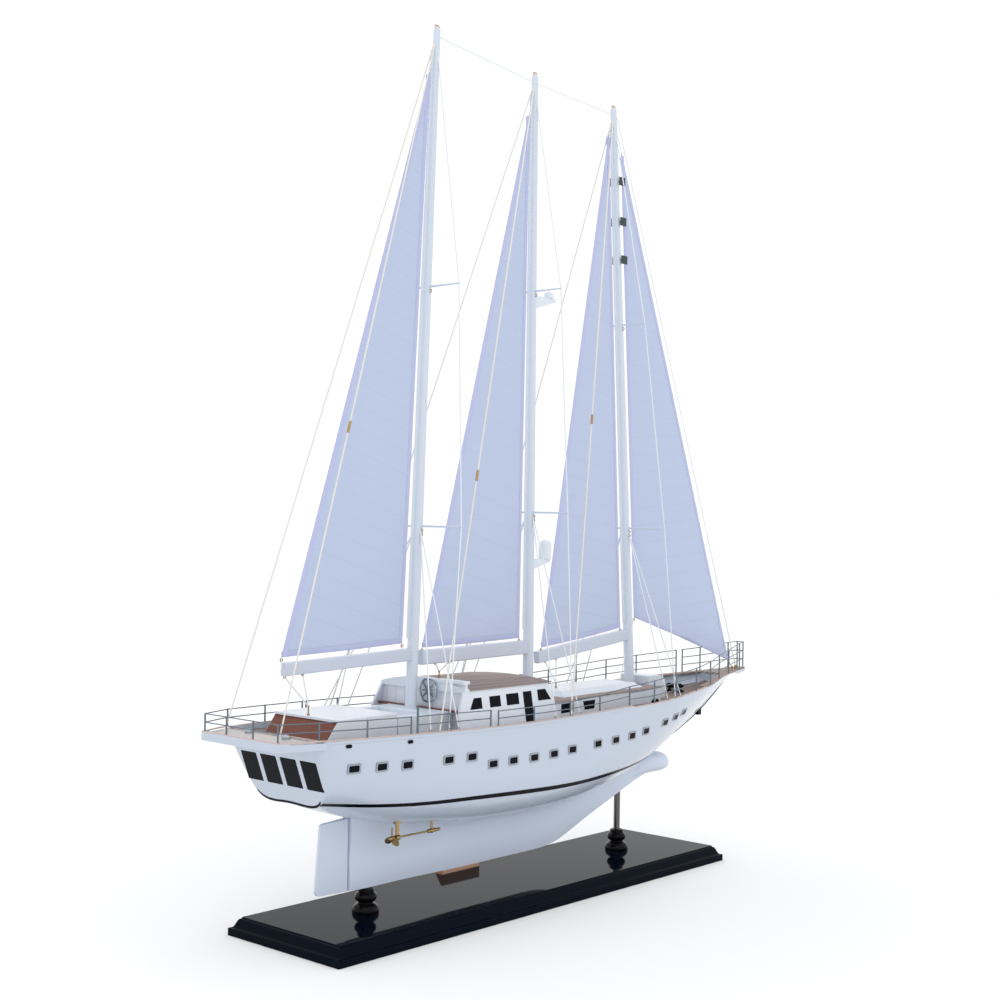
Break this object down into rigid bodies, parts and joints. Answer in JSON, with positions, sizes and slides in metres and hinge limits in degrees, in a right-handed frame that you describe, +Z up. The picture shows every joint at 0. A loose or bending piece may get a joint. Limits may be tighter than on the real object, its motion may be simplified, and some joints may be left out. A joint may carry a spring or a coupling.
{
  "type": "model sailing ship",
  "caption": "Display model of a schooner-rigged motor sailing yacht with a fin keel, deck houses, railings and full triangular sails, held on a black base board by turned posts.",
  "frame": {"origin": "centre of the base board's underside", "axes": "+X towards the bow, +Y to port, +Z up"},
  "size_m": [0.942, 0.1952, 1.034],
  "materials": {
    "base_black": "gloss black lacquer",
    "plaque_wood": "varnished brown wood",
    "rod_chrome": "polished",
    "hull_white": "white gloss lacquer",
    "white_lacquer": "white lacquered wood",
    "deck_tan": "satin planked veneer",
    "roof_brown": "matte planked veneer",
    "mahogany": "varnished mahogany",
    "black_glass": "gloss black",
    "pane_black": "gloss black",
    "rail_chrome": "dark polished steel",
    "light_chrome": "polished",
    "brass": "polished",
    "dark_metal": "satin blackened",
    "mast_white": "white satin lacquer",
    "sail_cloth": "tight weave, matte",
    "line_pale": "twisted thread",
    "line_cream": "twisted thread",
    "green_paint": "dark green gloss",
    "red_paint": "dark red gloss"
  },
  "bodies": {
    "ship": {"base_board": "base_black", "stand_post_aft": "base_black", "stand_post_fore": "base_black", "support_rods": "rod_chrome", "name_plaque": "plaque_wood", "hull_shell": "hull_white", "keel_fin": "hull_white", "stern_platform": "hull_white", "main_deck": "deck_tan", "foredeck": "deck_tan", "cap_rail": "white_lacquer", "transom_windows": "pane_black", "portlight_frames": "light_chrome", "portlight_glass": "pane_black", "stem_band": "dark_metal", "fairleads": "dark_metal", "shaft_struts": "brass", "shaft_bearings": "brass", "deck_trim": "mahogany", "aft_cabin": "white_lacquer", "cockpit_seats": "white_lacquer", "wheelhouse": "white_lacquer", "wheelhouse_roof": "roof_brown", "trunk_roof": "roof_brown", "deckhouse_windows": "black_glass", "forward_trunk": "white_lacquer", "companion": "white_lacquer", "deck_fittings": "dark_metal", "stern_rail": "rail_chrome", "side_rails_port": "rail_chrome", "side_rails_stbd": "rail_chrome", "bow_pulpit": "rail_chrome", "mizzen_mast": "mast_white", "main_mast": "mast_white", "fore_mast": "mast_white", "mizzen_boom": "mast_white", "main_boom": "mast_white", "fore_boom": "mast_white", "spreaders": "mast_white", "radar_scanner": "white_lacquer", "lower_radome": "white_lacquer", "starboard_lights": "green_paint", "port_lights": "red_paint", "rigging_eyes": "brass", "brass_fittings": "brass", "mizzen_sail": "sail_cloth", "main_sail": "sail_cloth", "fore_sail": "sail_cloth", "jib": "sail_cloth", "shrouds": "line_pale", "stays": "line_pale", "sheets": "line_pale", "running_backstays": "line_cream"},
    "rudder": {"rudder": "hull_white", "rudder_stock": "light_chrome"},
    "propeller_port": {"propeller_port": "brass"},
    "propeller_stbd": {"propeller_stbd": "brass"},
    "steering_wheel": {"steering_wheel": "rail_chrome"}
  },
  "joints": [
    {"name": "rudder_hinge", "type": "hinge", "parent": "ship", "child": "rudder", "pos_m": [-0.262, 0, 0.1], "axis": [0, 0, 1], "range_deg": [-35, 35]},
    {"name": "propeller_port_shaft", "type": "hinge", "parent": "ship", "child": "propeller_port", "pos_m": [-0.225, 0.035, 0.106], "axis": [1, 0, 0], "continuous": true},
    {"name": "propeller_stbd_shaft", "type": "hinge", "parent": "ship", "child": "propeller_stbd", "pos_m": [-0.225, -0.035, 0.106], "axis": [1, 0, 0], "continuous": true},
    {"name": "steering_spindle", "type": "hinge", "parent": "ship", "child": "steering_wheel", "pos_m": [-0.1485, -0.0133, 0.2615], "axis": [1, 0, 0], "continuous": true}
  ]
}
